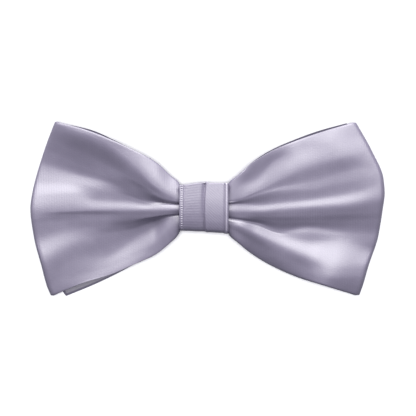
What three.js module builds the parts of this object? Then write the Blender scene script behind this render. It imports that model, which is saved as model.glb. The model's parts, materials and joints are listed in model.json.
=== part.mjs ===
// Pre-tied bow tie lying on its back, in millimetres.
// +X runs along the bow, +Y toward its upper edge, +Z out of its front.
import * as THREE from "three";

// Main sizes
const CLOTH_WALL = 1.0;
const BACK_BOW_THICKNESS = 1.6;
const KNOT_LEFT = -7.95;
const KNOT_RIGHT = 7.9;

// Reach: how far from the knot (0) to the outer fold (1) each column of the wing tables stands.
const REACH = [0, 0.006, 0.08, 0.2, 0.36, 0.55, 0.77, 1];

// Height of the front ply, and of the plies behind it, at each reach.
const FRONT_PLY_Z = [14.6, 15.2, 15.3, 14.4, 13, 11.8, 10.1, 8.1];
const BACK_PLY_Z = [6, 6, 6, 5.4, 4.4, 3.2, 2.4, 2];
const BACK_BOW_Z = [4.1, 4.1, 4.1, 3.4, 2.4, 1.2, 0.4, 0];

// Each row is one fold line of the front ply, from the knot out to the outer fold.
// y: its place across the band. z: its height above FRONT_PLY_Z.
const LEFT_WING = {
  topEdge: {
    y: [6.2, 8.1, 10.9, 15.5, 19.2, 22.9, 26.5, 29.2],
    z: [-3, -2.2, -1.9, 0.2, 3.1, 4, 3.45, 1.3],
  },
  topRoll: {
    y: [5.4, 7.4, 10.4, 15, 18.7, 22.4, 26, 28.7],
    z: [-1.4, -1.6, -1.5, 0.6, 3.25, 4.1, 3.55, 1.4],
  },
  upperCrest: {
    y: [3, 3, 4.2, 7.5, 14.4, 20.7, 25.2, 27.6],
    z: [0.1, 0.1, 0.55, 2.3, 3.6, 4, 3.5, 1.1],
  },
  upperFall: {
    y: [2.4, 2.3, 2.8, 5.5, 9.8, 14.3, 19, 22.8],
    z: [-0.1, 0, 0.35, 1.7, 2.3, 1.15, 0.4, -0.9],
  },
  upperRidge: {
    y: [2, 1.8, 2.1, 4.6, 8, 11.2, 15, 19],
    z: [-0.5, -0.2, 0, 1.35, 1.4, 0.25, -1.3, -2.3],
  },
  upperValley: {
    y: [1.6, 1.35, 1.6, 2.1, 5.3, 8.8, 11.6, 14.5],
    z: [-1.2, -0.9, -0.8, -0.45, 0.3, -0.4, -2.25, -3.2],
  },
  upperStep: {
    y: [1.3, 1.1, 1.3, 1.7, 3.9, 6.1, 8.6, 9],
    z: [-1.1, -0.65, -0.62, -0.46, -0.25, -0.35, -1.9, -2.6],
  },
  upperShelf: {
    y: [1, 0.85, 1, 1.2, 2.3, 3, 4.8, 3.8],
    z: [-0.7, -0.3, -0.32, -0.4, -0.45, -0.5, -0.75, -0.9],
  },
  middleCrest: {
    y: [-0.5, -0.5, -0.6, -0.7, -0.7, -0.7, -1, -1.6],
    z: [0, 0.1, 0.05, 0, 0, 0, 0, 0],
  },
  middleLip: {
    y: [-1.8, -1.7, -1.9, -2.4, -2.3, -2.3, -2.3, -3.4],
    z: [-0.3, -0.3, -0.3, -0.4, -0.35, -0.45, -0.35, 0],
  },
  lowerRidge: {
    y: [-2.1, -1.95, -2.2, -3.1, -4.1, -4.5, -4.5, -5.2],
    z: [-0.7, -0.45, -0.45, -0.65, -0.9, -0.75, -0.75, -0.15],
  },
  lowerCrease: {
    y: [-2.4, -2.25, -2.6, -3.8, -6, -6.8, -7.2, -10],
    z: [-1.2, -0.85, -0.95, -1.75, -1.85, -1.1, -0.9, -0.5],
  },
  lowerLip: {
    y: [-2.7, -2.5, -3, -4.8, -7.5, -9.2, -12.6, -18.8],
    z: [-1.3, -0.95, -1.1, -2.6, -2.45, -1.5, -0.25, 1.5],
  },
  lowerValley: {
    y: [-3, -2.9, -3.6, -6.6, -10.7, -15.6, -17.5, -24.5],
    z: [-1.1, -0.8, -1.05, -2.8, -2.9, -2.2, -0.6, 0.9],
  },
  lowerCrest: {
    y: [-4.6, -4.8, -6.7, -12.4, -15.5, -19.5, -22, -26.3],
    z: [-0.5, -0.5, -0.9, -1.8, -2, -1.65, -0.6, 0.6],
  },
  bottomRoll: {
    y: [-5.5, -7.3, -11.2, -15.3, -18.5, -22, -25, -29.2],
    z: [-1.4, -1.1, -1.5, -1.85, -1.4, -1.1, -0.3, 0.3],
  },
  bottomEdge: {
    y: [-6.2, -8.1, -11.7, -15.8, -19, -22.6, -25.5, -29.7],
    z: [-3, -1.6, -1.7, -1.95, -1.35, -1, -0.2, 0.1],
  },
};

const RIGHT_WING = {
  topEdge: {
    y: [6.2, 8.1, 10.9, 15.3, 19.4, 22.8, 26, 29],
    z: [-3, -1.4, 0, 1.3, 0.68, -0.85, -0.4, -1.7],
  },
  topRoll: {
    y: [5.4, 7.5, 10.4, 14.8, 18.9, 22.3, 25.5, 28.5],
    z: [-1.4, -0.8, 0.35, 1.25, 0.65, -0.7, -0.3, -1.5],
  },
  upperDip: {
    y: [4.9, 5.3, 7.4, 9.5, 15.6, 19.6, 22, 24.5],
    z: [-0.5, -0.3, 0.3, 0.35, 0.05, -0.4, 0.25, -1.4],
  },
  upperCrest: {
    y: [2.7, 2.6, 3.3, 5.6, 9.7, 13.8, 17, 19],
    z: [0.1, 0.05, 0.45, 0.75, 0.5, 0.4, 0.6, -0.95],
  },
  upperValley: {
    y: [2.3, 2.2, 2.7, 4.9, 7, 8.7, 11.9, 14.3],
    z: [0, 0, 0.35, 0.6, 0.1, -0.3, -0.4, -0.8],
  },
  upperRidge: {
    y: [2, 1.9, 2.3, 4.2, 6, 6.5, 8.8, 10.9],
    z: [-0.4, 0.05, 0.2, 0.5, 0.1, -0.3, -0.5, -0.6],
  },
  upperCrease: {
    y: [1.4, 1.3, 1.35, 1.2, 2.1, 3.2, 5.1, 8.3],
    z: [-0.9, -0.4, -0.3, -0.4, -0.45, -0.6, -0.75, -0.4],
  },
  middleCrest: {
    y: [-0.9, -1, -1.1, -1.2, -0.6, 0.1, 0.9, 3.2],
    z: [0, 0.05, 0, 0, 0, 0, 0, 0],
  },
  middleLip: {
    y: [-2.3, -2.4, -2.6, -2.7, -2.7, -2.3, -1.8, -1.4],
    z: [-0.2, -0.25, -0.25, -0.35, -0.35, -0.4, -0.5, -0.7],
  },
  lowerCrease: {
    y: [-2.7, -2.85, -3.3, -3.9, -4.6, -4.7, -4.6, -4.1],
    z: [-0.6, -0.5, -0.45, -1, -1.15, -1.25, -1.55, -1.35],
  },
  lowerValley: {
    y: [-3.1, -3.35, -4, -5.1, -7.8, -6.6, -7.8, -9.2],
    z: [-0.9, -0.8, -0.9, -1.9, -2.32, -1.85, -2.25, -2.2],
  },
  lowerRidge: {
    y: [-3.5, -3.8, -4.4, -5.7, -8.4, -8.6, -9.6, -11.3],
    z: [-0.8, -0.75, -0.85, -1.9, -2.3, -1.6, -2, -2.2],
  },
  lowerStep: {
    y: [-3.9, -4.3, -5, -6.5, -9.2, -10.9, -11.6, -13.5],
    z: [-0.6, -0.5, -0.6, -1.6, -2.05, -1.45, -1.5, -2.2],
  },
  lowerCrest: {
    y: [-4.5, -5.2, -6.1, -8.7, -12.6, -16.4, -20.5, -20.5],
    z: [-0.4, -0.5, -0.38, -0.95, -0.95, 0.15, 2, 0.35],
  },
  lowerFall: {
    y: [-5.1, -6.2, -8.4, -11.8, -16, -19.2, -23.8, -24],
    z: [-0.7, -0.7, -1, -2.05, -1.55, -0.35, 2.55, 0.85],
  },
  bottomRoll: {
    y: [-5.5, -7.8, -11.1, -15.3, -19.4, -23, -26, -29.1],
    z: [-1.4, -1.2, -1.65, -3.5, -2.95, -1.3, 2.4, 0.3],
  },
  bottomEdge: {
    y: [-6.2, -8.5, -11.6, -15.8, -19.9, -23.5, -26.5, -29.6],
    z: [-3, -1.8, -2.1, -3.95, -3.45, -1.85, 2.1, -0.1],
  },
};

// Distance of the outer folds from the origin, against the height y across the bow.
const OUTER_Y = [-29.8, -26.5, -20, -10, 0, 5, 10, 20, 26.5, 29.6];
const LEFT_OUTER_X = [52.2, 53.6, 55.3, 58.0, 59.2, 58.6, 57.5, 54.4, 51.9, 50.6];
const RIGHT_OUTER_X = [52.9, 54.1, 56.0, 59.4, 61.0, 61.6, 61.2, 57.0, 53.4, 51.6];

// How deep each outer fold's round is, from its outermost line toward the knot.
const LEFT_FOLD_DEPTH = 1.3;
const RIGHT_FOLD_DEPTH = 2.0;

// Fold angles, in degrees, where the round outer fold meets the front ply and the back ply.
const FOLD_START = 74;
const FOLD_END = -86;

// Outline of the second band behind the first: its edges at each reach and its ends against y.
const BACK_BOW_LEFT = {
  top: [5.2, 7.4, 9.6, 14.2, 18, 22.2, 26.5, 28.9],
  bottom: [-5.2, -7.6, -9.8, -14.4, -18.2, -22.3, -26.4, -30.1],
};
const BACK_BOW_RIGHT = {
  top: [5.2, 7.4, 9.8, 14, 18.1, 21.4, 24.9, 28.4],
  bottom: [-5.2, -7.6, -10.2, -14.4, -18.6, -22, -25.3, -28.7],
};
const BACK_BOW_END_Y = [-29.9, -28.8, -24, 0, 24, 28.4, 29.4];
const BACK_BOW_LEFT_X = [47.2, 48.3, 50.2, 55.6, 50.8, 48.8, 47.4];
const BACK_BOW_RIGHT_X = [47.0, 48.8, 51.2, 57.6, 52.0, 49.6, 48.0];

// Slopes for a curve that passes through every point and never overshoots.
function curveThrough(xs, ys) {
  const count = xs.length;
  const secants = [];
  for (let i = 0; i < count - 1; i++) {
    secants.push((ys[i + 1] - ys[i]) / (xs[i + 1] - xs[i]));
  }
  const slopes = [secants[0]];
  for (let i = 1; i < count - 1; i++) {
    const before = secants[i - 1];
    const after = secants[i];
    slopes.push(before * after <= 0 ? 0 : (2 * before * after) / (before + after));
  }
  slopes.push(secants[count - 2]);
  return (x) => {
    let i = 0;
    while (i < count - 2 && x > xs[i + 1]) i++;
    const width = xs[i + 1] - xs[i];
    const t = Math.min(Math.max((x - xs[i]) / width, 0), 1);
    const s = 1 - t;
    return (
      ys[i] * s * s * (1 + 2 * t) +
      ys[i + 1] * t * t * (3 - 2 * t) +
      width * t * s * (slopes[i] * s - slopes[i + 1] * t)
    );
  };
}

const mix = (a, b, t) => a + (b - a) * t;
const frontPlyZ = curveThrough(REACH, FRONT_PLY_Z);
const backPlyZ = curveThrough(REACH, BACK_PLY_Z);
const backBowZ = curveThrough(REACH, BACK_BOW_Z);

// Points across the front ply at one reach: every fold line and one point between each two.
function plySection(table, reach) {
  const ys = [];
  const zs = [];
  for (const row of Object.values(table)) {
    ys.push(-curveThrough(REACH, row.y)(reach));
    zs.push(curveThrough(REACH, row.z)(reach));
  }
  const height = curveThrough(ys, zs);
  const points = [];
  for (let i = 0; i < ys.length; i++) {
    points.push({ y: -ys[i], h: zs[i] });
    if (i < ys.length - 1) {
      const between = mix(ys[i], ys[i + 1], 0.5);
      points.push({ y: -between, h: height(between) });
    }
  }
  return points;
}

// Height of the inner face below a section of the outer face, one cloth wall away from all of it.
function innerHeights(points) {
  return points.map(({ y }) => {
    let lowest = Infinity;
    for (let i = 0; i < points.length - 1; i++) {
      for (let step = 0; step <= 8; step++) {
        const t = step / 8;
        const away = mix(points[i].y, points[i + 1].y, t) - y;
        if (Math.abs(away) <= CLOTH_WALL) {
          const drop = Math.sqrt(CLOTH_WALL ** 2 - away ** 2);
          lowest = Math.min(lowest, mix(points[i].h, points[i + 1].h, t) - drop);
        }
      }
    }
    return lowest;
  });
}

// A solid from closed sections in order. Looped bodies join the last section to the first;
// the others are closed at both ends by a strip between the two halves of the end section.
function solidFromSections(sections, looped) {
  const ring = sections[0].length;
  const half = ring / 2;
  const positions = [];
  for (const section of sections) {
    for (const point of section) positions.push(...point);
  }
  const index = [];
  const last = looped ? sections.length : sections.length - 1;
  for (let i = 0; i < last; i++) {
    const a = i * ring;
    const b = ((i + 1) % sections.length) * ring;
    for (let j = 0; j < ring; j++) {
      const k = (j + 1) % ring;
      index.push(a + j, b + j, b + k, a + j, b + k, a + k);
    }
  }
  if (!looped) {
    for (const [start, flip] of [[0, false], [(sections.length - 1) * ring, true]]) {
      for (let j = 0; j < half - 1; j++) {
        const corners = [start + j, start + j + 1, start + ring - 2 - j, start + ring - 1 - j];
        const [p, q, r, s] = flip ? corners.reverse() : corners;
        index.push(p, q, r, p, r, s);
      }
    }
  }
  const geometry = new THREE.BufferGeometry();
  geometry.setAttribute("position", new THREE.Float32BufferAttribute(positions, 3));
  geometry.setIndex(index);
  return geometry;
}

// Turns a solid's faces the right way round if its sections ran the other way.
function facingOut(geometry) {
  const position = geometry.attributes.position;
  const index = geometry.index;
  const [a, b, c] = [new THREE.Vector3(), new THREE.Vector3(), new THREE.Vector3()];
  let volume = 0;
  for (let i = 0; i < index.count; i += 3) {
    a.fromBufferAttribute(position, index.getX(i));
    b.fromBufferAttribute(position, index.getX(i + 1));
    c.fromBufferAttribute(position, index.getX(i + 2));
    volume += a.dot(b.cross(c));
  }
  if (volume < 0) {
    for (let i = 0; i < index.count; i += 3) {
      const second = index.getX(i + 1);
      index.setX(i + 1, index.getX(i + 2));
      index.setX(i + 2, second);
    }
  }
  geometry.computeVertexNormals();
  return geometry;
}

// Sections of one wing of the front bow, from the knot along the front ply, round the outer
// fold and back along the back ply. side is -1 for the left wing and 1 for the right.
function wingSections(table, outerX, depth, side) {
  const knotX = side < 0 ? -KNOT_LEFT : KNOT_RIGHT;
  const reachOut = curveThrough(OUTER_Y, outerX);
  const start = THREE.MathUtils.degToRad(FOLD_START);
  const end = THREE.MathUtils.degToRad(FOLD_END);
  const rim = plySection(table, 1);
  const topY = rim[0].y;
  const bottomY = rim[rim.length - 1].y;
  const lines = rim.map(({ y, h }) => {
    const topZ = frontPlyZ(1) + h;
    const radius = (topZ - BACK_PLY_Z[BACK_PLY_Z.length - 1]) / (Math.sin(start) - Math.sin(end));
    return {
      y,
      radius,
      centreX: reachOut(y) - depth,
      centreZ: topZ - radius * Math.sin(start),
      share: (topY - y) / (topY - bottomY),
    };
  });

  const sections = [];
  const close = (outer, inner) => sections.push([...outer, ...inner.reverse()]);

  for (const reach of [0, 0.006, 0.04, 0.08, 0.14, 0.22, 0.32, 0.43, 0.54, 0.65, 0.77, 0.89]) {
    const points = plySection(table, reach);
    const inner = innerHeights(points);
    const place = (h) => ({ y }, j) => {
      const endX = lines[j].centreX + depth * Math.cos(start);
      return [side * mix(knotX, endX, reach), y, frontPlyZ(reach) + h(j)];
    };
    close(points.map(place((j) => points[j].h)), points.map(place((j) => inner[j])));
  }

  for (const turn of [0, 0.2, 0.4, 0.6, 0.8, 1]) {
    const angle = mix(start, end, turn);
    const around = (wall) => lines.map((line) => [
      side * (line.centreX + (depth - wall) * Math.cos(angle)),
      line.y,
      line.centreZ + (line.radius - wall) * Math.sin(angle),
    ]);
    close(around(0), around(CLOTH_WALL));
  }

  for (const reach of [0.85, 0.68, 0.5, 0.32, 0.16, 0.08, 0]) {
    const narrowing = mix(0.96, 1, reach ** 3);
    const top = curveThrough(REACH, table.topEdge.y)(reach) * narrowing;
    const bottom = curveThrough(REACH, table.bottomEdge.y)(reach) * narrowing;
    const along = (wall) => lines.map((line) => [
      side * mix(knotX, line.centreX + depth * Math.cos(end), reach),
      mix(top, bottom, line.share),
      backPlyZ(reach) + wall,
    ]);
    close(along(0), along(CLOTH_WALL));
  }
  return sections;
}

function frontBow() {
  const left = wingSections(LEFT_WING, LEFT_OUTER_X, LEFT_FOLD_DEPTH, -1);
  const right = wingSections(RIGHT_WING, RIGHT_OUTER_X, RIGHT_FOLD_DEPTH, 1).reverse();
  return facingOut(solidFromSections([...left, ...right], true));
}

// The second band: one flat thickness, gathered at the knot into three shallow pleats.
function backBow() {
  const across = [0, 0.04, 0.2, 0.35, 0.5, 0.65, 0.8, 0.96, 1];
  const pleats = [-0.5, 0, 0.35, -0.35, 0.35, -0.35, 0.35, 0, -0.5];
  const reaches = [0, 0.006, 0.04, 0.08, 0.18, 0.32, 0.5, 0.65, 0.8, 0.92, 1];
  const wing = (edges, endX, side) => reaches.map((reach) => {
    const knotX = side < 0 ? -KNOT_LEFT : KNOT_RIGHT;
    const top = curveThrough(REACH, edges.top)(reach);
    const bottom = curveThrough(REACH, edges.bottom)(reach);
    const rise = 0.6 * (1 - reach) ** 3;
    const face = (thickness) => across.map((share, j) => {
      const outY = mix(edges.top.at(-1), edges.bottom.at(-1), share);
      const x = mix(knotX, curveThrough(BACK_BOW_END_Y, endX)(outY), reach);
      const soften = thickness > 0 ? 1 : 0.6;
      const z = backBowZ(reach) + thickness + pleats[j] * rise * soften;
      return [side * x, mix(top, bottom, share), Math.max(z, 0)];
    });
    return [...face(0), ...face(BACK_BOW_THICKNESS).reverse()];
  });
  const left = wing(BACK_BOW_LEFT, BACK_BOW_LEFT_X, -1).reverse();
  const right = wing(BACK_BOW_RIGHT, BACK_BOW_RIGHT_X, 1);
  return facingOut(solidFromSections([...left, ...right], false));
}

// The knot: a wrap of cloth with a gently arched front. Its right half lies over its left half
// along one pleat, and both its side edges are turned under as narrow raised rims.
const KNOT = {
  wall: 1.2,
  backZ: 1.5,
  frontZ: 17.0,
  topRadius: 0.6,
  bottomRadius: 1.8,
  backRadius: 2.4,
  // How far the front leans from flat where it meets its upper and lower corners, in degrees.
  topLean: 8,
  bottomLean: 25,
  // The wrap's sides and back, as a share of the width of its front.
  sideWidth: 0.964,
  // The arch: its height against the share of the front from the upper corner to the lower.
  share: [0, 0.24, 0.38, 0.52, 0.62, 0.81, 0.95, 1],
  arch: [-0.91, -0.42, -0.17, -0.03, 0, -0.19, -0.64, -0.92],
  // Columns across the wrap: x, upper and lower limit, height of the cloth on the front, and how
  // far the front leans toward the upper edge there.
  x: [
    -8.3, -8.0, -7.1, -6.7, -6.2, -4.0, -1.8, -0.9, -0.2, 0.4,
    0.7, 0.95, 2.2, 5.0, 6.5, 6.9, 7.3, 7.8, 8.25,
  ],
  top:    [7.8, 7.8, 7.9, 7.9, 7.9, 8.2, 8.5, 8.6, 8.6, 8.6, 8.8, 8.8, 8.5, 8.4, 8.4, 8.4, 8.4, 8.4, 8.4],
  bottom: [
    -7.7, -7.7, -7.7, -7.7, -7.7, -7.8, -7.9, -7.9, -7.9, -8.0,
    -8.1, -8.1, -8.1, -8.3, -8.4, -8.5, -8.6, -8.7, -8.7,
  ],
  lift: [
    0.0, 0.15, 0.15, -0.1, 0.0, 0.1, 0.1, -0.05, -0.35, -0.65,
    0.1, 0.3, 0.3, 0.15, 0.1, -0.15, 0.3, 0.3, 0.1,
  ],
  lean: [
    0.0, 0.0, 0.0, 0.0, -0.1, -0.15, -0.1, -0.1, 0.0, 0.1,
    0.3, 0.3, 0.3, 0.3, 0.2, 0.1, 0.0, 0.0, 0.0,
  ],
};

// Points round the wrap in its (y, z) plane with the direction the cloth faces there.
function wrapPath(top, bottom) {
  const { topRadius, bottomRadius, backRadius, frontZ, backZ, topLean, bottomLean } = KNOT;
  const points = [];
  const arc = (centreY, centreZ, radius, from, to, steps) => {
    for (let i = 0; i <= steps; i++) {
      const angle = THREE.MathUtils.degToRad(mix(from, to, i / steps));
      points.push({
        y: centreY + radius * Math.cos(angle),
        z: centreZ + radius * Math.sin(angle),
        outY: Math.cos(angle),
        outZ: Math.sin(angle),
      });
    }
  };
  const topEnd = THREE.MathUtils.degToRad(90 - topLean);
  const bottomEnd = THREE.MathUtils.degToRad(90 + bottomLean);
  const rise = curveThrough(KNOT.share, KNOT.arch);
  const startY = top - topRadius * (1 - Math.cos(topEnd));
  const endY = bottom + bottomRadius * (1 + Math.cos(bottomEnd));
  const length = startY - endY;

  arc(top - topRadius, frontZ + rise(0) - topRadius * Math.sin(topEnd), topRadius, 0, 90 - topLean, 4);
  for (const share of [0.12, 0.24, 0.38, 0.52, 0.66, 0.8, 0.92]) {
    const slope = (rise(share + 0.01) - rise(share - 0.01)) / (0.02 * length);
    const size = Math.hypot(slope, 1);
    points.push({
      y: mix(startY, endY, share),
      z: frontZ + rise(share),
      outY: slope / size,
      outZ: 1 / size,
    });
  }
  const lowZ = frontZ + rise(1) - bottomRadius * Math.sin(bottomEnd);
  arc(bottom + bottomRadius, lowZ, bottomRadius, 90 + bottomLean, 180, 4);
  arc(bottom + backRadius, backZ + backRadius, backRadius, 180, 270, 4);
  arc(top - backRadius, backZ + backRadius, backRadius, -90, 0, 4);
  return points;
}

function knot() {
  const columns = KNOT.x.map((x, j) => ({
    x,
    path: wrapPath(KNOT.top[j], KNOT.bottom[j]),
    lift: KNOT.lift[j],
    lean: KNOT.lean[j],
  }));
  const count = columns[0].path.length;
  const sections = [];
  for (let i = 0; i < count; i++) {
    const face = (inside) => columns.map(({ x, path, lift, lean }) => {
      const { y, z, outY, outZ } = path[i];
      const raised = (lift - lean * y / 8) * Math.max(outZ, 0);
      const out = inside ? Math.min(raised, 0) - KNOT.wall : raised;
      const width = mix(KNOT.sideWidth, 1, Math.max(outZ, 0));
      return [x * width, y + outY * out, z + outZ * out];
    });
    sections.push([...face(false), ...face(true).reverse()]);
  }
  return facingOut(solidFromSections(sections, true));
}

// The clasp: one strip bent double, its inner leaf held inside the back of the knot.
const CLIP = { halfLength: 12, halfWidth: 4, sheet: 0.8, leafRise: 3.0, bendX: -10.4 };

function clip() {
  const { halfLength, halfWidth, sheet, leafRise, bendX } = CLIP;
  const radius = leafRise / 2;
  const path = [{ x: halfLength, z: sheet / 2, outX: 0, outZ: -1 }];
  for (let i = 0; i <= 8; i++) {
    const angle = THREE.MathUtils.degToRad(mix(-90, -270, i / 8));
    path.push({
      x: bendX + radius * Math.cos(angle),
      z: sheet / 2 + radius + radius * Math.sin(angle),
      outX: Math.cos(angle),
      outZ: Math.sin(angle),
    });
  }
  path.push({ x: halfLength, z: sheet / 2 + leafRise, outX: 0, outZ: 1 });
  const sections = path.map(({ x, z, outX, outZ }) => {
    const corner = (y, way) => [x + (outX * way * sheet) / 2, y, z + (outZ * way * sheet) / 2];
    return [corner(-halfWidth, 1), corner(halfWidth, 1), corner(halfWidth, -1), corner(-halfWidth, -1)];
  });
  return facingOut(solidFromSections(sections, false));
}

// Surfaces
const satin = new THREE.MeshStandardMaterial({ color: 0x9a94ab, roughness: 0.45, metalness: 0.0 });
satin.name = "lilac_satin";
const metal = new THREE.MeshStandardMaterial({ color: 0xb9bbc0, roughness: 0.3, metalness: 1.0 });
metal.name = "plated_metal";

const group = new THREE.Group();
for (const [name, geometry, material] of [
  ["front_bow", frontBow(), satin],
  ["back_bow", backBow(), satin],
  ["knot", knot(), satin],
  ["clip", clip(), metal],
]) {
  const mesh = new THREE.Mesh(geometry, material);
  mesh.name = name;
  group.add(mesh);
}

export default group;
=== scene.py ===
"""A pre-tied satin bow tie lying on a pale floor, seen from straight above its front."""

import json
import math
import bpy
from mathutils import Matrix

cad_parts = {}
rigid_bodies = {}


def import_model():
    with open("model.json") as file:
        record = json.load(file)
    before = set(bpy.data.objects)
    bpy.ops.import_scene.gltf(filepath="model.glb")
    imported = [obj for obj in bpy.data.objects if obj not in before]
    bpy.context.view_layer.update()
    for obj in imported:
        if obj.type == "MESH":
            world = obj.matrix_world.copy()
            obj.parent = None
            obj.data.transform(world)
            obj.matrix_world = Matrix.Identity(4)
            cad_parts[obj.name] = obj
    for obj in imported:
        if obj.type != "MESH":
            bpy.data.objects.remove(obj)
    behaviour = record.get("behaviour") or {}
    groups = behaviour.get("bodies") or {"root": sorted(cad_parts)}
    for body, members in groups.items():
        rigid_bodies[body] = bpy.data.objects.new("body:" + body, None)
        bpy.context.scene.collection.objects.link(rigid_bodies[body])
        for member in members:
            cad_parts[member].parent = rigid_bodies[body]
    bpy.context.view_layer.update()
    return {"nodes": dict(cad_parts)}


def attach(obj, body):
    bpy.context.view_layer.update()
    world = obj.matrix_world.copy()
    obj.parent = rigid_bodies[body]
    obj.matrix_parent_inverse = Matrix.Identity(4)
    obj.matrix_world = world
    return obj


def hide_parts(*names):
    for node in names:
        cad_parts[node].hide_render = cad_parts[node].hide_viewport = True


bl_info = {
    "name": "Pre-tied Bow Tie",
    "version": (1, 0, 0),
    "blender": (4, 5, 0),
    "location": "3D View > Sidebar > Bow Tie",
    "description": "Builds a pleated satin bow tie with its knot, clip, floor and lights",
    "category": "Add Mesh",
}

import bpy
import numpy as np
from bpy.props import FloatProperty, FloatVectorProperty, PointerProperty
from bpy.types import Operator, Panel, PropertyGroup
from mathutils import Vector

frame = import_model()

MM = 0.001

# Sizes are in millimetres up to the stage's. These four are the same in the solids.
CLOTH_WALL = 1.0
BACK_BOW_THICKNESS = 1.6
KNOT_LEFT = -7.95
KNOT_RIGHT = 7.9

# Reach: how far from the knot (0) to the outer fold (1) each column of the wing tables stands,
# and the level of each band there
REACH = (0.0, 0.006, 0.08, 0.2, 0.36, 0.55, 0.77, 1.0)
FRONT_PLY_Z = (14.6, 15.2, 15.3, 14.4, 13, 11.8, 10.1, 8.1)
BACK_PLY_Z = (6, 6, 6, 5.4, 4.4, 3.2, 2.4, 2)
BACK_BOW_Z = (4.1, 4.1, 4.1, 3.4, 2.4, 1.2, 0.4, 0)

# Each row is one fold line of the front ply: name, its y and its height at each reach
LEFT_WING = (
    ("top edge",
     (6.2, 8.1, 10.9, 15.5, 19.2, 22.9, 26.5, 29.2),
     (-3, -2.2, -1.9, 0.2, 3.1, 4, 3.45, 1.3)),
    ("top roll",
     (5.4, 7.4, 10.4, 15, 18.7, 22.4, 26, 28.7),
     (-1.4, -1.6, -1.5, 0.6, 3.25, 4.1, 3.55, 1.4)),
    ("upper crest",
     (3, 3, 4.2, 7.5, 14.4, 20.7, 25.2, 27.6),
     (0.1, 0.1, 0.55, 2.3, 3.6, 4, 3.5, 1.1)),
    ("upper fall",
     (2.4, 2.3, 2.8, 5.5, 9.8, 14.3, 19, 22.8),
     (-0.1, 0, 0.35, 1.7, 2.3, 1.15, 0.4, -0.9)),
    ("upper ridge",
     (2, 1.8, 2.1, 4.6, 8, 11.2, 15, 19),
     (-0.5, -0.2, 0, 1.35, 1.4, 0.25, -1.3, -2.3)),
    ("upper valley",
     (1.6, 1.35, 1.6, 2.1, 5.3, 8.8, 11.6, 14.5),
     (-1.2, -0.9, -0.8, -0.45, 0.3, -0.4, -2.25, -3.2)),
    ("upper step",
     (1.3, 1.1, 1.3, 1.7, 3.9, 6.1, 8.6, 9),
     (-1.1, -0.65, -0.62, -0.46, -0.25, -0.35, -1.9, -2.6)),
    ("upper shelf",
     (1, 0.85, 1, 1.2, 2.3, 3, 4.8, 3.8),
     (-0.7, -0.3, -0.32, -0.4, -0.45, -0.5, -0.75, -0.9)),
    ("middle crest",
     (-0.5, -0.5, -0.6, -0.7, -0.7, -0.7, -1, -1.6),
     (0, 0.1, 0.05, 0, 0, 0, 0, 0)),
    ("middle lip",
     (-1.8, -1.7, -1.9, -2.4, -2.3, -2.3, -2.3, -3.4),
     (-0.3, -0.3, -0.3, -0.4, -0.35, -0.45, -0.35, 0)),
    ("lower ridge",
     (-2.1, -1.95, -2.2, -3.1, -4.1, -4.5, -4.5, -5.2),
     (-0.7, -0.45, -0.45, -0.65, -0.9, -0.75, -0.75, -0.15)),
    ("lower crease",
     (-2.4, -2.25, -2.6, -3.8, -6, -6.8, -7.2, -10),
     (-1.2, -0.85, -0.95, -1.75, -1.85, -1.1, -0.9, -0.5)),
    ("lower lip",
     (-2.7, -2.5, -3, -4.8, -7.5, -9.2, -12.6, -18.8),
     (-1.3, -0.95, -1.1, -2.6, -2.45, -1.5, -0.25, 1.5)),
    ("lower valley",
     (-3, -2.9, -3.6, -6.6, -10.7, -15.6, -17.5, -24.5),
     (-1.1, -0.8, -1.05, -2.8, -2.9, -2.2, -0.6, 0.9)),
    ("lower crest",
     (-4.6, -4.8, -6.7, -12.4, -15.5, -19.5, -22, -26.3),
     (-0.5, -0.5, -0.9, -1.8, -2, -1.65, -0.6, 0.6)),
    ("bottom roll",
     (-5.5, -7.3, -11.2, -15.3, -18.5, -22, -25, -29.2),
     (-1.4, -1.1, -1.5, -1.85, -1.4, -1.1, -0.3, 0.3)),
    ("bottom edge",
     (-6.2, -8.1, -11.7, -15.8, -19, -22.6, -25.5, -29.7),
     (-3, -1.6, -1.7, -1.95, -1.35, -1, -0.2, 0.1)),
)

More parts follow.
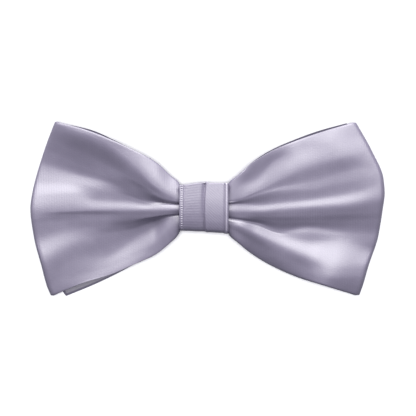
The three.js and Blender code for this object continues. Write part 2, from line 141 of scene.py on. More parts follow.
RIGHT_WING = (
    ("top edge",
     (6.2, 8.1, 10.9, 15.3, 19.4, 22.8, 26, 29),
     (-3, -1.4, 0, 1.3, 0.68, -0.85, -0.4, -1.7)),
    ("top roll",
     (5.4, 7.5, 10.4, 14.8, 18.9, 22.3, 25.5, 28.5),
     (-1.4, -0.8, 0.35, 1.25, 0.65, -0.7, -0.3, -1.5)),
    ("upper dip",
     (4.9, 5.3, 7.4, 9.5, 15.6, 19.6, 22, 24.5),
     (-0.5, -0.3, 0.3, 0.35, 0.05, -0.4, 0.25, -1.4)),
    ("upper crest",
     (2.7, 2.6, 3.3, 5.6, 9.7, 13.8, 17, 19),
     (0.1, 0.05, 0.45, 0.75, 0.5, 0.4, 0.6, -0.95)),
    ("upper valley",
     (2.3, 2.2, 2.7, 4.9, 7, 8.7, 11.9, 14.3),
     (0, 0, 0.35, 0.6, 0.1, -0.3, -0.4, -0.8)),
    ("upper ridge",
     (2, 1.9, 2.3, 4.2, 6, 6.5, 8.8, 10.9),
     (-0.4, 0.05, 0.2, 0.5, 0.1, -0.3, -0.5, -0.6)),
    ("upper crease",
     (1.4, 1.3, 1.35, 1.2, 2.1, 3.2, 5.1, 8.3),
     (-0.9, -0.4, -0.3, -0.4, -0.45, -0.6, -0.75, -0.4)),
    ("middle crest",
     (-0.9, -1, -1.1, -1.2, -0.6, 0.1, 0.9, 3.2),
     (0, 0.05, 0, 0, 0, 0, 0, 0)),
    ("middle lip",
     (-2.3, -2.4, -2.6, -2.7, -2.7, -2.3, -1.8, -1.4),
     (-0.2, -0.25, -0.25, -0.35, -0.35, -0.4, -0.5, -0.7)),
    ("lower crease",
     (-2.7, -2.85, -3.3, -3.9, -4.6, -4.7, -4.6, -4.1),
     (-0.6, -0.5, -0.45, -1, -1.15, -1.25, -1.55, -1.35)),
    ("lower valley",
     (-3.1, -3.35, -4, -5.1, -7.8, -6.6, -7.8, -9.2),
     (-0.9, -0.8, -0.9, -1.9, -2.32, -1.85, -2.25, -2.2)),
    ("lower ridge",
     (-3.5, -3.8, -4.4, -5.7, -8.4, -8.6, -9.6, -11.3),
     (-0.8, -0.75, -0.85, -1.9, -2.3, -1.6, -2, -2.2)),
    ("lower step",
     (-3.9, -4.3, -5, -6.5, -9.2, -10.9, -11.6, -13.5),
     (-0.6, -0.5, -0.6, -1.6, -2.05, -1.45, -1.5, -2.2)),
    ("lower crest",
     (-4.5, -5.2, -6.1, -8.7, -12.6, -16.4, -20.5, -20.5),
     (-0.4, -0.5, -0.38, -0.95, -0.95, 0.15, 2, 0.35)),
    ("lower fall",
     (-5.1, -6.2, -8.4, -11.8, -16, -19.2, -23.8, -24),
     (-0.7, -0.7, -1, -2.05, -1.55, -0.35, 2.55, 0.85)),
    ("bottom roll",
     (-5.5, -7.8, -11.1, -15.3, -19.4, -23, -26, -29.1),
     (-1.4, -1.2, -1.65, -3.5, -2.95, -1.3, 2.4, 0.3)),
    ("bottom edge",
     (-6.2, -8.5, -11.6, -15.8, -19.9, -23.5, -26.5, -29.6),
     (-3, -1.8, -2.1, -3.95, -3.45, -1.85, 2.1, -0.1)),
)

# Outer folds: how far out they stand at each y, how deep they are, and their angles
OUTER_Y = (-29.8, -26.5, -20, -10, 0, 5, 10, 20, 26.5, 29.6)
LEFT_OUTER_X = (52.2, 53.6, 55.3, 58.0, 59.2, 58.6, 57.5, 54.4, 51.9, 50.6)
RIGHT_OUTER_X = (52.9, 54.1, 56.0, 59.4, 61.0, 61.6, 61.2, 57.0, 53.4, 51.6)
LEFT_FOLD_DEPTH = 1.3
RIGHT_FOLD_DEPTH = 2.0
FOLD_START = math.radians(74)
FOLD_END = math.radians(-86)

# Front bow's rings: how many lie along each part, where the plies stop short of the fold, how
# much the front ply's rings crowd toward the knot, and the points across and round the rims
FRONT_PLY_RINGS = 72
FRONT_PLY_END = 0.985
FRONT_PLY_CROWDING = 1.5
FOLD_RINGS = 17
BACK_PLY_RINGS = 20
BACK_PLY_START = 0.94
STEPS_BETWEEN_LINES = 7
RIM_POINTS = 3

# Back ply: its width at the knot, as a share of the front ply's, and how late it widens
BACK_PLY_AT_KNOT = 0.96
BACK_PLY_WIDENING = 3

# Bulge of the plies' cut edges, as a share of half the wall; the solids' edges are flat
RIM_BULGE = 0.15

# Second band: its upper and lower edge at each reach, and how far out its ends stand at each y.
# The upper edges stand up to 1.7 mm further up than the solid's, to show past the front bow.
BACK_BOW_LEFT = (
    (5.2, 7.4, 9.6, 14.4, 18.8, 22.9, 26.8, 28.9),
    (-5.2, -7.6, -9.8, -14.4, -18.2, -22.3, -26.4, -30.1),
)
BACK_BOW_RIGHT = (
    (5.2, 7.4, 10.2, 15.3, 19.6, 23.1, 26.4, 29),
    (-5.2, -7.6, -10.2, -14.4, -18.6, -22, -25.3, -28.7),
)
BACK_BOW_END_Y = (-29.9, -28.8, -24, 0, 24, 28.4, 29.4)
BACK_BOW_LEFT_X = (47.2, 48.3, 50.2, 55.6, 50.8, 48.8, 47.4)
BACK_BOW_RIGHT_X = (47.0, 48.8, 51.2, 57.6, 52.0, 49.6, 48.0)
BACK_BOW_RINGS = 40
BACK_BOW_ACROSS = (0, 0.015, 0.04, 0.12, 0.2, 0.28, 0.35, 0.42, 0.5,
                   0.58, 0.65, 0.72, 0.8, 0.88, 0.96, 0.985, 1)

# Its pleats at the knot: their heights across the band, as shares of a rise that fades outward,
# and how much of them shows underneath
BAND_PLEAT_ACROSS = (0, 0.04, 0.2, 0.35, 0.5, 0.65, 0.8, 0.96, 1)
BAND_PLEAT_HEIGHT = (-0.5, 0, 0.35, -0.35, 0.35, -0.35, 0.35, 0, -0.5)
BAND_PLEAT_RISE = 0.6
BAND_PLEAT_FADE = 3
BAND_PLEAT_UNDERNEATH = 0.6

# Knot: its wall, back and front, its corners' radii and how far the front leans from flat where
# it meets them, in degrees. The upper corner is tighter than the solid's, which is 0.6.
KNOT_WALL = 1.2
KNOT_BACK_Z = 1.5
KNOT_FRONT_Z = 17.0
KNOT_TOP_RADIUS = 0.35
KNOT_BOTTOM_RADIUS = 1.8
KNOT_BACK_RADIUS = 2.4
KNOT_TOP_LEAN = 8
KNOT_BOTTOM_LEAN = 25

# The knot's sides and back, as a share of the width of its front
KNOT_SIDE_WIDTH = 0.964

# The arch of its front: height against the share of the way from the upper corner to the lower
KNOT_SHARE = (0, 0.24, 0.38, 0.52, 0.62, 0.81, 0.95, 1)
KNOT_ARCH = (-0.91, -0.42, -0.17, -0.03, 0, -0.19, -0.64, -0.92)

# Columns across the knot: x, upper and lower limit, height of the cloth on the front, and how
# much lower the front lies at the lean height than in the middle
KNOT_X = (
    -8.3, -8.0, -7.1, -6.7, -6.2, -4.0, -1.8, -0.9, -0.2, 0.4,
    0.7, 0.95, 2.2, 5.0, 6.5, 6.9, 7.3, 7.8, 8.25,
)
KNOT_TOP = (
    7.8, 7.8, 7.9, 7.9, 7.9, 8.2, 8.5, 8.6, 8.6, 8.6,
    8.8, 8.8, 8.5, 8.4, 8.4, 8.4, 8.4, 8.4, 8.4,
)
KNOT_BOTTOM = (
    -7.7, -7.7, -7.7, -7.7, -7.7, -7.8, -7.9, -7.9, -7.9, -8.0,
    -8.1, -8.1, -8.1, -8.3, -8.4, -8.5, -8.6, -8.7, -8.7,
)
KNOT_LIFT = (
    0.0, 0.15, 0.15, -0.1, 0.0, 0.1, 0.1, -0.05, -0.35, -0.65,
    0.1, 0.3, 0.3, 0.15, 0.1, -0.15, 0.3, 0.3, 0.1,
)
KNOT_LEAN = (
    0.0, 0.0, 0.0, 0.0, -0.1, -0.15, -0.1, -0.1, 0.0, 0.1,
    0.3, 0.3, 0.3, 0.3, 0.2, 0.1, 0.0, 0.0, 0.0,
)
KNOT_LEAN_HEIGHT = 8

# Knot's mesh: first and last x of each span and the points on it, and the points round the wrap
KNOT_SPANS = (
    (-8.3, -8.0, 4), (-7.9, -6.2, 18), (-5.9, -1.8, 14),
    (-1.6, 1.2, 29), (1.5, 6.2, 13), (6.4, 8.25, 19),
)
FRONT_CORNER_POINTS = 10
FRONT_POINTS = 120
BACK_CORNER_POINTS = 8
SLOPE_STEP = 0.01

# Row of stitches down the knot's left side, and a painted highlight down its right edge, drawn as
# a lighter stripe in the stitches' colour
STITCH_X = -7.5
STITCH_WIDTH = 0.22
STITCH_STRENGTH = 0.8
STITCH_SPACING = 0.75
STITCH_RISE = 0.15
EDGE_HIGHLIGHT_X = 7.55
EDGE_HIGHLIGHT_WIDTH = 0.16

# The knot's pleat: how far its middle bends left, how wide that is felt and how far up and down
KNOT_PLEAT_X = 0.5
KNOT_PLEAT_BEND = 0.45
KNOT_PLEAT_WIDTH = 1.6
KNOT_PLEAT_HALF_LENGTH = 8.4

# How much the ribs right of the pleat slant
BIAS = 0.8

# Stage, in metres, but the camera's sensor width in millimetres. The camera frames the bow at
# the level of its outer folds.
FLOOR_WIDTH = 4.0
SURROUND_COLOUR = (0.82, 0.82, 1.0)
SOFTBOX_SIZE = (1.0, 0.5)
SOFTBOX_PLACE = (0, 0.42, 0.36)
SOFTBOX_AIM = (0, 0, 0.01)
SOFTBOX_COLOUR = (1.0, 1.0, 0.975)
FLOOR_WASH_SIZE = (0.5, 0.5)
FLOOR_WASH_PLACE = (0, 0, 3)
BACK_BOW_FILL_SIZE = (1.0, 1.0)
BACK_BOW_FILL_PLACE = (0, 0.05, 1.1)
SENSOR_WIDTH = 36
CAMERA_X = 0.00136
FRAMED_LEVEL = 0.008


def curve_through(xs, ys):
    """A function whose curve passes through every point and never overshoots; xs ascend."""
    xs = np.asarray(xs, float)
    ys = np.asarray(ys, float)
    widths = np.diff(xs)
    secants = np.diff(ys) / widths
    slopes = np.empty(len(xs))
    slopes[0] = secants[0]
    slopes[-1] = secants[-1]
    before = secants[:-1]
    after = secants[1:]
    total = before + after
    safe = np.where(np.abs(total) < 1e-12, 1.0, total)
    slopes[1:-1] = np.where(before * after > 0, 2 * before * after / safe, 0.0)

    def at(x):
        x = np.asarray(x, float)
        i = np.clip(np.searchsorted(xs, x, side="right") - 1, 0, len(xs) - 2)
        t = np.clip((x - xs[i]) / widths[i], 0, 1)
        s = 1 - t
        return (
            ys[i] * s * s * (1 + 2 * t)
            + ys[i + 1] * t * t * (3 - 2 * t)
            + widths[i] * t * s * (slopes[i] * s - slopes[i + 1] * t)
        )

    return at


def mix(a, b, t):
    """From a to b as t goes from 0 to 1."""
    return a + (b - a) * t


def smooth(t):
    """0 to 1 as t does, with a soft start and end."""
    t = np.clip(t, 0, 1)
    return t * t * (3 - 2 * t)


def grid_object(name, sections, looped, material, along, stitch_and_highlight_shares=None):
    """A solid from closed sections in order, as one object with rounded shading.

    sections is an array of (section, point, xyz) in millimetres. A looped body joins the last
    section to the first; the others are closed at both ends between the halves of the section.
    The cloth attribute keeps along and the way round the section, in millimetres, and a second
    attribute says how much of each point has the thread colour: stitches and a painted highlight.
    """
    count, ring, _ = sections.shape
    vertices = (sections.reshape(-1, 3) * MM).tolist()
    faces = []
    last = count if looped else count - 1
    for i in range(last):
        a = i * ring
        b = ((i + 1) % count) * ring
        for j in range(ring):
            k = (j + 1) % ring
            faces.append((a + j, b + j, b + k, a + k))
    if not looped:
        for start, flip in ((0, False), ((count - 1) * ring, True)):
            for j in range(ring // 2 - 1):
                quad = (start + j, start + j + 1, start + ring - 2 - j, start + ring - 1 - j)
                faces.append(quad[::-1] if flip else quad)
    mesh = bpy.data.meshes.new(name)
    mesh.from_pydata(vertices, [], faces)
    mesh.update()
    if signed_volume(mesh) < 0:
        mesh.flip_normals()
    mesh.polygons.foreach_set("use_smooth", [True] * len(mesh.polygons))
    steps = np.linalg.norm(np.diff(sections, axis=1), axis=2)
    round_section = np.concatenate([np.zeros((count, 1)), np.cumsum(steps, axis=1)], axis=1)
    cloth = np.zeros((count, ring, 3), np.float32)
    cloth[:, :, 0] = along
    cloth[:, :, 1] = round_section
    attribute = mesh.attributes.new("cloth", "FLOAT_VECTOR", "POINT")
    attribute.data.foreach_set("vector", cloth.reshape(-1))
    if stitch_and_highlight_shares is not None:
        attribute = mesh.attributes.new("stitch_and_highlight", "FLOAT", "POINT")
        attribute.data.foreach_set("value", stitch_and_highlight_shares.astype(np.float32).reshape(-1))
    mesh.materials.append(material)
    piece = bpy.data.objects.new(name, mesh)
    bpy.context.scene.collection.objects.link(piece)
    return piece


def signed_volume(mesh):
    """Volume of a closed mesh, negative where its faces look inward."""
    mesh.calc_loop_triangles()
    corners = np.empty(len(mesh.loop_triangles) * 3, np.int64)
    mesh.loop_triangles.foreach_get("vertices", corners)
    points = np.empty(len(mesh.vertices) * 3)
    mesh.vertices.foreach_get("co", points)
    a, b, c = np.moveaxis(points.reshape(-1, 3)[corners.reshape(-1, 3)], 1, 0)
    return float(np.einsum("ij,ij->i", a, np.cross(b, c)).sum()) / 6


# Front bow

def places_across(lines):
    """Places across the fold lines, counted in lines, with equal steps between each two."""
    return np.linspace(0, lines - 1, (lines - 1) * STEPS_BETWEEN_LINES + 1)


def ply_section(table, reach, places):
    """y and height across the front ply at one reach, from its upper edge to its lower."""
    ys = np.array([float(curve_through(REACH, row[1])(reach)) for row in table])
    zs = np.array([float(curve_through(REACH, row[2])(reach)) for row in table])
    y = np.interp(places, np.arange(len(ys)), ys)
    return y, curve_through(-ys, zs)(-y)


def inner_heights(y, height, wall):
    """Height of the inner face, one wall away from all of the outer face of its section."""
    away = np.abs(y[None, :] - y[:, None])
    drop = np.sqrt(np.clip(wall**2 - away**2, 0, None))
    below = np.where(away <= wall, height[None, :] - drop, np.inf)
    return below.min(axis=1)


def rounded_rim(start, end, outward):
    """Points round the cut edge of a ply, between the ends of its two faces."""
    middle = (start + end) / 2
    half = (start - end) / 2
    radius = np.linalg.norm(half)
    points = []
    for k in range(1, RIM_POINTS + 1):
        angle = math.pi * k / (RIM_POINTS + 1)
        bulge = RIM_BULGE * radius * math.sin(angle)
        points.append(middle + half * math.cos(angle) + outward * bulge)
    return points


def closed_section(outer, inner):
    """One ring of points: the outer face, the lower rim, the inner face and the upper rim."""
    up = np.array((0.0, 1.0, 0.0))
    bottom = rounded_rim(outer[-1], inner[-1], -up)
    top = rounded_rim(inner[0], outer[0], up)
    return np.array([*outer, *bottom, *inner[::-1], *top])


def wing_sections(table, outer_x, depth, side, places):
    """Rings of one wing, from the knot along the front ply, round the fold and back."""
    knot_x = -KNOT_LEFT if side < 0 else KNOT_RIGHT
    rim_y, rim_h = ply_section(table, 1.0, places)
    top_z = FRONT_PLY_Z[-1] + rim_h
    radius = (top_z - BACK_PLY_Z[-1]) / (math.sin(FOLD_START) - math.sin(FOLD_END))
    centre_x = curve_through(OUTER_Y, outer_x)(rim_y) - depth
    centre_z = top_z - radius * math.sin(FOLD_START)
    share = (rim_y[0] - rim_y) / (rim_y[0] - rim_y[-1])
    front_z = curve_through(REACH, FRONT_PLY_Z)
    back_z = curve_through(REACH, BACK_PLY_Z)

    rings = []
    for reach in np.linspace(0, FRONT_PLY_END, FRONT_PLY_RINGS) ** FRONT_PLY_CROWDING:
        y, height = ply_section(table, reach, places)
        inner = inner_heights(y, height, CLOTH_WALL)
        x = side * mix(knot_x, centre_x + depth * math.cos(FOLD_START), reach)
        rings.append(closed_section(
            np.column_stack([x, y, front_z(reach) + height]),
            np.column_stack([x, y, front_z(reach) + inner]),
        ))
    for turn in np.linspace(0, 1, FOLD_RINGS):
        angle = mix(FOLD_START, FOLD_END, turn)
        faces = []
        for wall in (0.0, CLOTH_WALL):
            x = side * (centre_x + (depth - wall) * math.cos(angle))
            faces.append(np.column_stack([x, rim_y, centre_z + (radius - wall) * math.sin(angle)]))
        rings.append(closed_section(*faces))
    for reach in np.linspace(BACK_PLY_START, 0, BACK_PLY_RINGS):
        narrowing = mix(BACK_PLY_AT_KNOT, 1, reach**BACK_PLY_WIDENING)
        top = float(curve_through(REACH, table[0][1])(reach)) * narrowing
        bottom = float(curve_through(REACH, table[-1][1])(reach)) * narrowing
        x = side * mix(knot_x, centre_x + depth * math.cos(FOLD_END), reach)
        y = mix(top, bottom, share)
        low = np.full_like(y, float(back_z(reach)))
        rings.append(closed_section(
            np.column_stack([x, y, low]), np.column_stack([x, y, low + CLOTH_WALL])
        ))
    return rings


def make_front_bow(material):
    """The pleated band, one loop through both wings, open along its upper and lower edges."""
    places = places_across(len(LEFT_WING))
    left = wing_sections(LEFT_WING, LEFT_OUTER_X, LEFT_FOLD_DEPTH, -1, places)
    right = wing_sections(RIGHT_WING, RIGHT_OUTER_X, RIGHT_FOLD_DEPTH, 1, places)[::-1]
    sections = np.array(left + right)
    return grid_object("front_bow_satin", sections, True, material, along=sections[:, :, 0])


# Back bow

def make_back_bow(material):
    """The flat second band, with shallow pleats where it is gathered at the knot."""
    share = np.array(BACK_BOW_ACROSS)
    pleats = curve_through(BAND_PLEAT_ACROSS, BAND_PLEAT_HEIGHT)(share)
    band_z = curve_through(REACH, BACK_BOW_Z)

    def wing(edges, end_x, side):
        knot_x = -KNOT_LEFT if side < 0 else KNOT_RIGHT
        ends = curve_through(BACK_BOW_END_Y, end_x)(mix(edges[0][-1], edges[1][-1], share))
        rings = []
        for reach in np.linspace(0, 1, BACK_BOW_RINGS):
            y = mix(
                float(curve_through(REACH, edges[0])(reach)),
                float(curve_through(REACH, edges[1])(reach)),
                share,
            )
            rise = BAND_PLEAT_RISE * (1 - reach) ** BAND_PLEAT_FADE
            x = side * mix(knot_x, ends, reach)
            low = np.maximum(band_z(reach) + pleats * rise * BAND_PLEAT_UNDERNEATH, 0.0)
            high = band_z(reach) + BACK_BOW_THICKNESS + pleats * rise
            under = np.column_stack([x, y, low])
            over = np.column_stack([x, y, high])
            rings.append(np.array([*under, *over[::-1]]))
        return rings

    left = wing(BACK_BOW_LEFT, BACK_BOW_LEFT_X, -1)[::-1]
    right = wing(BACK_BOW_RIGHT, BACK_BOW_RIGHT_X, 1)
    sections = np.array(left + right)
    return grid_object("back_bow_satin", sections, False, material, along=sections[:, :, 0])


# Knot

def wrap_path(top, bottom):
    """Points round the wrap: y, z, and the y and z of the way the cloth faces there."""
    points = []

    def arc(centre_y, centre_z, radius, start, end, steps):
        for angle in np.radians(np.linspace(start, end, steps)):
            out = (math.cos(angle), math.sin(angle))
            points.append((centre_y + radius * out[0], centre_z + radius * out[1], *out))

    top_end = math.radians(90 - KNOT_TOP_LEAN)
    bottom_end = math.radians(90 + KNOT_BOTTOM_LEAN)
    rise = curve_through(KNOT_SHARE, KNOT_ARCH)
    start_y = top - KNOT_TOP_RADIUS * (1 - math.cos(top_end))
    end_y = bottom + KNOT_BOTTOM_RADIUS * (1 + math.cos(bottom_end))
    high_z = KNOT_FRONT_Z + KNOT_ARCH[0] - KNOT_TOP_RADIUS * math.sin(top_end)
    low_z = KNOT_FRONT_Z + KNOT_ARCH[-1] - KNOT_BOTTOM_RADIUS * math.sin(bottom_end)

    arc(top - KNOT_TOP_RADIUS, high_z, KNOT_TOP_RADIUS, 0, 90 - KNOT_TOP_LEAN, FRONT_CORNER_POINTS)
    for share in np.linspace(SLOPE_STEP, 1 - SLOPE_STEP, FRONT_POINTS):
        climb = rise(share + SLOPE_STEP) - rise(share - SLOPE_STEP)
        slope = climb / (2 * SLOPE_STEP * (start_y - end_y))
        size = math.hypot(slope, 1)
        y = mix(start_y, end_y, share)
        points.append((y, KNOT_FRONT_Z + rise(share), slope / size, 1 / size))
    low_y = bottom + KNOT_BOTTOM_RADIUS
    arc(low_y, low_z, KNOT_BOTTOM_RADIUS, 90 + KNOT_BOTTOM_LEAN, 180, FRONT_CORNER_POINTS)
    back_z = KNOT_BACK_Z + KNOT_BACK_RADIUS
    arc(bottom + KNOT_BACK_RADIUS, back_z, KNOT_BACK_RADIUS, 180, 270, BACK_CORNER_POINTS)
    arc(top - KNOT_BACK_RADIUS, back_z, KNOT_BACK_RADIUS, -90, 0, BACK_CORNER_POINTS)
    return np.array(points)


def closeness(xs, place, width):
    """1 at the place across the knot, falling to nothing beside it."""
    return np.exp(-(((xs - place) / width) ** 2))


def make_knot(material):
    """The wrap round the middle, with its pleat, stitches and a painted right-edge highlight."""
    xs = np.concatenate([np.linspace(*span) for span in KNOT_SPANS])
    tops = curve_through(KNOT_X, KNOT_TOP)(xs)
    bottoms = curve_through(KNOT_X, KNOT_BOTTOM)(xs)
    lifts = curve_through(KNOT_X, KNOT_LIFT)(xs)
    leans = curve_through(KNOT_X, KNOT_LEAN)(xs)
    on_seam = STITCH_STRENGTH * closeness(xs, STITCH_X, STITCH_WIDTH)
    # Painted highlight: a lighter stripe down the knot's right edge
    painted_edge_highlight = closeness(xs, EDGE_HIGHLIGHT_X, EDGE_HIGHLIGHT_WIDTH)
    by_pleat = closeness(xs, KNOT_PLEAT_X, KNOT_PLEAT_WIDTH)
    outer = []
    inner = []
    stitch_and_highlight_shares = []
    for i, x in enumerate(xs):
        y, z, out_y, out_z = wrap_path(tops[i], bottoms[i]).T
        front = np.maximum(out_z, 0)
        stitches = on_seam[i] * np.cos(2 * math.pi * y / STITCH_SPACING)
        raised = (lifts[i] - leans[i] * y / KNOT_LEAN_HEIGHT + STITCH_RISE * stitches) * front
        midway = np.cos(y / KNOT_PLEAT_HALF_LENGTH * math.pi / 2).clip(0)
        bent = x - KNOT_PLEAT_BEND * by_pleat[i] * midway * front
        stitch_and_highlight_shares.append((stitches.clip(0) + painted_edge_highlight[i]).clip(0, 1) * smooth(front * 2))
        for out, into in ((raised, outer), (np.minimum(raised, 0) - KNOT_WALL, inner)):
            width = mix(KNOT_SIDE_WIDTH, 1, front)
            into.append(np.column_stack([bent * width, y + out_y * out, z + out_z * out]))
    outer = np.array(outer)
    inner = np.array(inner)
    sections = np.array([
        np.concatenate([outer[:, i], inner[::-1, i]]) for i in range(outer.shape[1])
    ])
    stitch_and_highlight_shares = np.array(stitch_and_highlight_shares).T
    stitch_and_highlight_shares = np.concatenate([stitch_and_highlight_shares, np.zeros_like(stitch_and_highlight_shares)], axis=1)
    middle = sections.mean(axis=1)
    steps = np.linalg.norm(np.diff(middle, axis=0), axis=1)
    turns = np.concatenate([[0.0], np.cumsum(steps)])[:, None]
    # The right half is cut on the bias, so its ribs slant
    slant = BIAS * np.clip(sections[:, :, 0] - KNOT_PLEAT_X, 0, None)
    along = turns - slant
    return grid_object("knot_satin", sections, True, material, along, stitch_and_highlight_shares)


# Materials

def new_material(name):
    """A node material, with its nodes, its links and its surface shader."""
    material = bpy.data.materials.new(name)
    material.use_nodes = True
    nodes = material.node_tree.nodes
    return material, nodes, material.node_tree.links, nodes["Principled BSDF"]


def satin_material(name, look, rib_scale, faintest_ribs, grain_scale, grain_depth):
    """Satin: patches of fine ribs across the band, fine grain, and a broad soft shine."""
    material, nodes, links, shader = new_material(name)

    def noise(scale, detail):
        node = nodes.new("ShaderNodeTexNoise")
        node.inputs["Scale"].default_value = scale
        node.inputs["Detail"].default_value = detail
        links.new(cloth.outputs["Vector"], node.inputs["Vector"])
        return node.outputs["Fac"]

    def spread(value, lowest, highest, start=0.0, end=1.0):
        node = nodes.new("ShaderNodeMapRange")
        node.inputs["From Min"].default_value = start
        node.inputs["From Max"].default_value = end
        node.inputs["To Min"].default_value = lowest
        node.inputs["To Max"].default_value = highest
        links.new(value, node.inputs["Value"])
        return node.outputs["Result"]

    def blend(factor, first, second):
        node = nodes.new("ShaderNodeMix")
        node.data_type = "RGBA"
        links.new(factor, node.inputs["Factor"])
        for value, place in ((first, "A"), (second, "B")):
            if isinstance(value, bpy.types.NodeSocket):
                links.new(value, node.inputs[place])
            else:
                node.inputs[place].default_value = (*value, 1)
        return node.outputs["Result"]

    cloth = nodes.new("ShaderNodeAttribute")
    cloth.attribute_name = "cloth"
    stitch_and_highlight = nodes.new("ShaderNodeAttribute")
    stitch_and_highlight.attribute_name = "stitch_and_highlight"
    ribs = nodes.new("ShaderNodeTexWave")
    ribs.bands_direction = "X"
    ribs.inputs["Scale"].default_value = rib_scale
    ribs.inputs["Distortion"].default_value = 0.25
    ribs.inputs["Detail"].default_value = 1.0
    links.new(cloth.outputs["Vector"], ribs.inputs["Vector"])
    slubs = noise(scale=0.35, detail=4.0)
    grain = noise(scale=grain_scale, detail=2.0)

    clouds = noise(scale=0.06, detail=1.0)
    patches = spread(clouds, lowest=faintest_ribs, highest=1.2, start=0.4, end=0.65)
    patched = nodes.new("ShaderNodeMath")
    patched.operation = "MULTIPLY"
    links.new(ribs.outputs["Fac"], patched.inputs[0])
    links.new(patches, patched.inputs[1])
    relief = nodes.new("ShaderNodeMath")
    relief.operation = "ADD"
    links.new(patched.outputs["Value"], relief.inputs[0])
    links.new(spread(grain, lowest=0.0, highest=grain_depth), relief.inputs[1])
    bump = nodes.new("ShaderNodeBump")
    bump.inputs["Strength"].default_value = 0.13
    bump.inputs["Distance"].default_value = 0.0002
    links.new(relief.outputs["Value"], bump.inputs["Height"])
    links.new(bump.outputs["Normal"], shader.inputs["Normal"])

    tone = blend(slubs, look.deep_colour, look.colour)
    # The stitches and a painted highlight down the knot's right edge take the lighter thread
    # colour
    links.new(blend(stitch_and_highlight.outputs["Fac"], tone, look.stitch_and_highlight_colour), shader.inputs["Base Color"])
    links.new(spread(slubs, lowest=0.44, highest=0.52), shader.inputs["Roughness"])
    shader.inputs["IOR"].default_value = 1.6
    shader.inputs["Specular IOR Level"].default_value = 1.0
    shader.inputs["Coat Weight"].default_value = look.sheen
    shader.inputs["Coat Roughness"].default_value = 0.45
    shader.inputs["Coat IOR"].default_value = 1.6
    return material


def metal_material(name, colour):
    """Plated sheet metal with fine lengthwise brushing."""
    material, nodes, links, shader = new_material(name)
    place = nodes.new("ShaderNodeTexCoord")
    stretch = nodes.new("ShaderNodeMapping")
    stretch.inputs["Scale"].default_value = (60, 2500, 2500)
    links.new(place.outputs["Object"], stretch.inputs["Vector"])
    grain = nodes.new("ShaderNodeTexNoise")
    grain.inputs["Scale"].default_value = 1.0
    grain.inputs["Detail"].default_value = 3.0
    links.new(stretch.outputs["Vector"], grain.inputs["Vector"])
    rough = nodes.new("ShaderNodeMapRange")
    rough.inputs["To Min"].default_value = 0.22
    rough.inputs["To Max"].default_value = 0.38
    links.new(grain.outputs["Fac"], rough.inputs["Value"])
    links.new(rough.outputs["Result"], shader.inputs["Roughness"])
    bump = nodes.new("ShaderNodeBump")
    bump.inputs["Strength"].default_value = 0.08
    bump.inputs["Distance"].default_value = 0.0001
    links.new(grain.outputs["Fac"], bump.inputs["Height"])
    links.new(bump.outputs["Normal"], shader.inputs["Normal"])
    shader.inputs["Base Color"].default_value = (*colour, 1)
    shader.inputs["Metallic"].default_value = 1.0
    return material


def floor_material(name, colour):
    """A plain matt floor."""
    material, _, _, shader = new_material(name)
    shader.inputs["Base Color"].default_value = (*colour, 1)
    shader.inputs["Roughness"].default_value = 0.9
    shader.inputs["Specular IOR Level"].default_value = 0.1
    return material


def satin(scene):
    """The satin of both bands, made once."""
    name = "lilac_satin"
    if name in bpy.data.materials:
        return bpy.data.materials[name]
    return satin_material(
        name, scene.bow_tie_cloth,
        rib_scale=0.55, faintest_ribs=0.4, grain_scale=2.2, grain_depth=2.4,
    )


def knot_satin(scene):
    """The same satin where it is drawn tight round the knot, with a coarser look."""
    return satin_material(
        "lilac_knot_satin", scene.bow_tie_cloth,
        rib_scale=0.35, faintest_ribs=1.0, grain_scale=1.4, grain_depth=4.0,
    )


# Stage

def make_floor(scene, colour):
    """The floor under the bow, which isn't seen in reflections."""
    half = FLOOR_WIDTH / 2
    corners = [(-half, -half, 0), (half, -half, 0), (half, half, 0), (-half, half, 0)]
    mesh = bpy.data.meshes.new("floor")
    mesh.from_pydata(corners, [], [(0, 1, 2, 3)])
    mesh.materials.append(floor_material("pale_floor", colour))
    floor = bpy.data.objects.new("floor", mesh)
    scene.collection.objects.link(floor)
    floor.visible_glossy = False
    return floor


def make_surround(scene, strength):
    """Even light from all sides."""
    world = bpy.data.worlds.new("surround")
    world.use_nodes = True
    background = world.node_tree.nodes["Background"]
    background.inputs["Color"].default_value = (*SURROUND_COLOUR, 1)
    background.inputs["Strength"].default_value = strength
    scene.world = world


def make_lamp(scene, name, size, power, place, pieces):
    """A rectangular lamp that faces down and lights only the given pieces."""
    lamp = bpy.data.lights.new(name, "AREA")
    lamp.shape = "RECTANGLE"
    lamp.size, lamp.size_y = size
    lamp.energy = power
    light = bpy.data.objects.new(name, lamp)
    light.location = place
    scene.collection.objects.link(light)
    lit = bpy.data.collections.new("lit_by_" + name)
    for piece in pieces:
        lit.objects.link(piece)
    light.light_linking.receiver_collection = lit
    return light


def make_camera(scene, height, view_width):
    """A camera straight above the bow, looking down."""
    lens = bpy.data.cameras.new("front_camera")
    lens.sensor_width = SENSOR_WIDTH
    lens.lens = SENSOR_WIDTH * height / view_width
    camera = bpy.data.objects.new("front_camera", lens)
    camera.location = (CAMERA_X, 0, FRAMED_LEVEL + height)
    scene.collection.objects.link(camera)
    scene.camera = camera


# Settings

class BowTieCloth(PropertyGroup):
    """Colour and shine of the satin."""

    colour: FloatVectorProperty(
        name="Colour", description="Satin in its lighter places", subtype="COLOR",
        size=3, min=0, max=1, default=(0.213, 0.191, 0.275),
    )
    deep_colour: FloatVectorProperty(
        name="Deep colour", description="Satin in its deeper places", subtype="COLOR",
        size=3, min=0, max=1, default=(0.183, 0.161, 0.24),
    )
    # Lighter colour of the stitches, also used for a painted highlight down the knot's right edge
    stitch_and_highlight_colour: FloatVectorProperty(
        name="Thread colour", description="Stitches and edge thread of the knot", subtype="COLOR",
        size=3, min=0, max=1, default=(0.43, 0.395, 0.5),
    )
    sheen: FloatProperty(
        name="Sheen", description="Strength of the satin's soft shine", subtype="FACTOR",
        min=0, max=1, default=0.6,
    )


class BowTieClip(PropertyGroup):
    """Finish of the clip."""

    colour: FloatVectorProperty(
        name="Colour", description="Plated metal of the clip", subtype="COLOR",
        size=3, min=0, max=1, default=(0.62, 0.63, 0.65),
    )


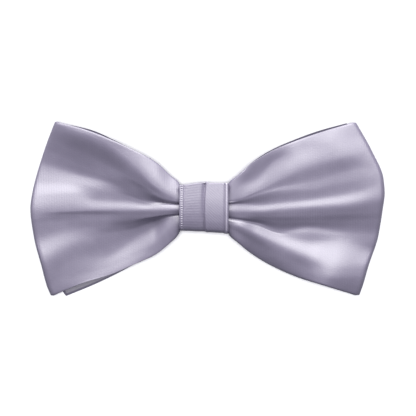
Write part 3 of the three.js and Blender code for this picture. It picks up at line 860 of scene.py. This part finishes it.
class BowTieStage(PropertyGroup):
    """Floor, lights and camera."""

    floor_colour: FloatVectorProperty(
        name="Floor colour", description="Plain pale floor", subtype="COLOR",
        size=3, min=0, max=1, default=(0.94, 0.94, 0.95),
    )
    light: FloatProperty(
        name="Light", description="Power of the large soft light beyond the bow's upper edge",
        unit="POWER", min=0, default=9.8,
    )
    floor_light: FloatProperty(
        name="Floor light", description="Power of the overhead light that keeps the floor pale",
        unit="POWER", min=0, default=90.0,
    )
    back_bow_light: FloatProperty(
        name="Back bow light", description="Power of the second band's own soft light",
        unit="POWER", min=0, default=10.0,
    )
    surround: FloatProperty(
        name="Surround", description="Strength of the even light from all sides",
        min=0, default=0.22,
    )
    camera_height: FloatProperty(
        name="Camera height", description="Height of the camera above the bow's outer folds",
        unit="LENGTH", min=0.1, default=0.9,
    )
    view_width: FloatProperty(
        name="View width", description="Width that the picture covers at the bow's outer folds",
        unit="LENGTH", min=0.05, default=0.1414,
    )


# Operators

class BOWTIE_OT_front_bow(Operator):
    """Build the pleated front band in satin"""

    bl_idname = "bow_tie.front_bow"
    bl_label = "Front Bow"

    def execute(self, context):
        bow = make_front_bow(satin(context.scene))
        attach(bow, "root")
        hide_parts("front_bow")
        return {"FINISHED"}


class BOWTIE_OT_back_bow(Operator):
    """Build the flat second band in satin"""

    bl_idname = "bow_tie.back_bow"
    bl_label = "Back Bow"

    def execute(self, context):
        bow = make_back_bow(satin(context.scene))
        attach(bow, "root")
        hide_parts("back_bow")
        return {"FINISHED"}


class BOWTIE_OT_knot(Operator):
    """Build the wrap round the gathered middle"""

    bl_idname = "bow_tie.knot"
    bl_label = "Knot"

    def execute(self, context):
        wrap = make_knot(knot_satin(context.scene))
        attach(wrap, "root")
        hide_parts("knot")
        return {"FINISHED"}


class BOWTIE_OT_clip(Operator):
    """Give the hidden clip its brushed metal"""

    bl_idname = "bow_tie.clip"
    bl_label = "Clip"

    def execute(self, context):
        look = context.scene.bow_tie_clip
        node = frame["nodes"]["clip"]
        metal = metal_material("brushed_clip_metal", look.colour)
        for place in node.material_slots:
            place.material = metal
        return {"FINISHED"}


class BOWTIE_OT_stage(Operator):
    """Set the floor, the lights and the camera"""

    bl_idname = "bow_tie.stage"
    bl_label = "Stage"

    def execute(self, context):
        scene = context.scene
        look = scene.bow_tie_stage
        floor = make_floor(scene, look.floor_colour)
        make_surround(scene, look.surround)
        pieces = bpy.data.objects
        softbox = make_lamp(
            scene, "upper_softbox", SOFTBOX_SIZE, look.light, SOFTBOX_PLACE,
            [pieces["front_bow_satin"], pieces["knot_satin"], pieces["clip"]],
        )
        softbox.data.color = SOFTBOX_COLOUR
        aim = Vector(SOFTBOX_AIM) - softbox.location
        softbox.rotation_euler = aim.to_track_quat("-Z", "Y").to_euler()
        make_lamp(
            scene, "floor_wash", FLOOR_WASH_SIZE, look.floor_light, FLOOR_WASH_PLACE, [floor],
        )
        make_lamp(
            scene, "back_bow_fill", BACK_BOW_FILL_SIZE, look.back_bow_light, BACK_BOW_FILL_PLACE,
            [pieces["back_bow_satin"]],
        )
        make_camera(scene, look.camera_height, look.view_width)
        scene.view_settings.view_transform = "Standard"
        return {"FINISHED"}


class BOWTIE_PT_panel(Panel):
    """Bow tie pieces and their settings"""

    bl_idname = "BOWTIE_PT_panel"
    bl_label = "Bow Tie"
    bl_space_type = "VIEW_3D"
    bl_region_type = "UI"
    bl_category = "Bow Tie"

    def draw(self, context):
        layout = self.layout
        scene = context.scene
        for title, settings in (
            ("Cloth", scene.bow_tie_cloth),
            ("Clip", scene.bow_tie_clip),
            ("Stage", scene.bow_tie_stage),
        ):
            box = layout.box()
            box.label(text=title)
            for name in settings.bl_rna.properties.keys():
                if name not in ("rna_type", "name"):
                    box.prop(settings, name)
        for operator in OPERATORS:
            layout.operator(operator.bl_idname)


OPERATORS = (
    BOWTIE_OT_front_bow,
    BOWTIE_OT_back_bow,
    BOWTIE_OT_knot,
    BOWTIE_OT_clip,
    BOWTIE_OT_stage,
)
CLASSES = (BowTieCloth, BowTieClip, BowTieStage, *OPERATORS, BOWTIE_PT_panel)


def register():
    for item in CLASSES:
        bpy.utils.register_class(item)
    bpy.types.Scene.bow_tie_cloth = PointerProperty(type=BowTieCloth)
    bpy.types.Scene.bow_tie_clip = PointerProperty(type=BowTieClip)
    bpy.types.Scene.bow_tie_stage = PointerProperty(type=BowTieStage)


def unregister():
    del bpy.types.Scene.bow_tie_stage
    del bpy.types.Scene.bow_tie_clip
    del bpy.types.Scene.bow_tie_cloth
    for item in reversed(CLASSES):
        bpy.utils.unregister_class(item)


def main():
    register()
    bpy.ops.bow_tie.back_bow()
    bpy.ops.bow_tie.front_bow()
    bpy.ops.bow_tie.knot()
    bpy.ops.bow_tie.clip()
    bpy.ops.bow_tie.stage()


if __name__ == "__main__":
    main()
